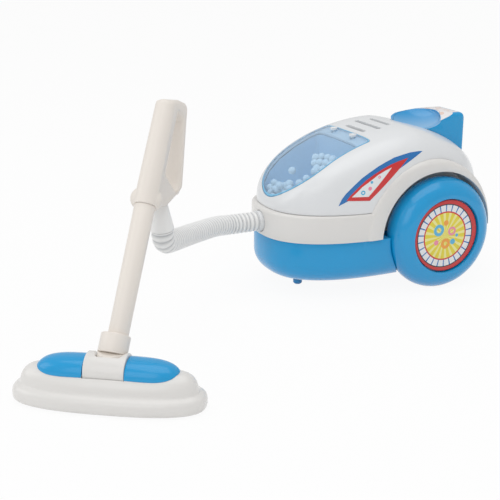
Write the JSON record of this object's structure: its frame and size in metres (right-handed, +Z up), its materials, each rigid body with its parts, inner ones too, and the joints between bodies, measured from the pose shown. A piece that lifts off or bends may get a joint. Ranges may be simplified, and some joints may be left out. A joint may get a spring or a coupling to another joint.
{
  "type": "toy vacuum cleaner",
  "caption": "Toy canister vacuum cleaner: bubble-shaped canister on big wheels with a clear bead window, ribbed hose, wand with loop handle and tilting floor head.",
  "frame": {"origin": "bottom centre of the standing object, without the hose", "axes": "+Z up; the canister faces -Y and its left side is +X; the floor head stands ahead and to the left"},
  "size_m": [0.1782, 0.2978, 0.1226],
  "materials": {
    "blue_plastic": "glossy",
    "white_plastic": "glossy",
    "ivory_plastic": "glossy",
    "wand_plastic": "satin",
    "hose_plastic": "satin",
    "window_plastic": "clear",
    "chamber_plastic": "satin",
    "foam": "matte",
    "steel": "satin",
    "cell_jacket": "satin",
    "black_plastic": "matte"
  },
  "bodies": {
    "canister": {"base_shell": "blue_plastic", "battery_door": "blue_plastic", "battery_door_screw": "steel", "aa_cell_1": "cell_jacket", "aa_cell_2": "cell_jacket", "contact_bridge": "steel", "contact_minus": "steel", "contact_plus": "steel", "skirt_band": "ivory_plastic", "dome_cover": "white_plastic", "window_pane": "window_plastic", "window_screw_left": "steel", "window_screw_right": "steel", "bead_tray": "chamber_plastic", "foam_bead_1": "foam", "foam_bead_2": "foam", "foam_bead_3": "foam", "foam_bead_4": "foam", "foam_bead_5": "foam", "foam_bead_6": "foam", "foam_bead_7": "foam", "foam_bead_8": "foam", "tail_handle": "blue_plastic", "button_spring": "steel", "switch_body": "black_plastic", "motor_frame": "white_plastic", "motor": "steel", "axle": "steel", "axle_nut_left": "steel", "axle_nut_right": "steel", "front_foot": "blue_plastic", "hose_inlet": "white_plastic", "case_screw_1": "steel", "case_screw_2": "steel", "case_screw_3": "steel", "case_screw_4": "steel", "hose": "hose_plastic"},
    "wheel_left": {"wheel_left": "blue_plastic", "hub_disc_left": "white_plastic"},
    "wheel_right": {"wheel_right": "blue_plastic", "hub_disc_right": "white_plastic"},
    "fan": {"impeller": "white_plastic"},
    "power_button": {"power_button": "blue_plastic"},
    "wand": {"wand_handle": "wand_plastic", "wand_tube": "wand_plastic", "hose_cuff": "wand_plastic", "neck_collar": "wand_plastic", "neck_pin": "steel"},
    "neck": {"neck_drum": "ivory_plastic"},
    "floor_head": {"head_shell": "ivory_plastic", "head_sole": "ivory_plastic", "head_cap_left": "blue_plastic", "head_cap_right": "blue_plastic", "head_screw_left": "steel", "head_screw_right": "steel", "tilt_pin": "steel"}
  },
  "joints": [
    {"name": "wheel_left_spin", "type": "hinge", "parent": "canister", "child": "wheel_left", "pos_m": [-0.04257, 0.10489, 0.032], "axis": [1, 0, 0], "continuous": true},
    {"name": "wheel_right_spin", "type": "hinge", "parent": "canister", "child": "wheel_right", "pos_m": [-0.04257, 0.10489, 0.032], "axis": [1, 0, 0], "continuous": true},
    {"name": "fan_spin", "type": "hinge", "parent": "canister", "child": "fan", "pos_m": [-0.04257, 0.09309, 0.055], "axis": [0, 1, 0], "continuous": true},
    {"name": "button_press", "type": "slide", "parent": "canister", "child": "power_button", "axis": [0, 0, -1], "range_m": [0, 0.002], "stiffness_N_per_m": 150, "springref_m": -0.002, "deforming": ["button_spring"]},
    {"name": "hose_swing", "type": "hinge", "parent": "canister", "child": "wand", "pos_m": [-0.04257, 0.00889, 0.0405], "axis": [0, 0, 1], "range_deg": [-15, 15], "deforming": ["hose"]},
    {"name": "neck_lean", "type": "hinge", "parent": "wand", "child": "neck", "pos_m": [0.05509, -0.1071, 0.02384], "axis": [-0.6831, 0.4783, -0.5519], "range_deg": [-5, 14]},
    {"name": "head_tilt", "type": "hinge", "parent": "neck", "child": "floor_head", "pos_m": [0.05943, -0.11111, 0.015], "axis": [0.5736, 0.8192, 0], "range_deg": [-32, 17]}
  ]
}
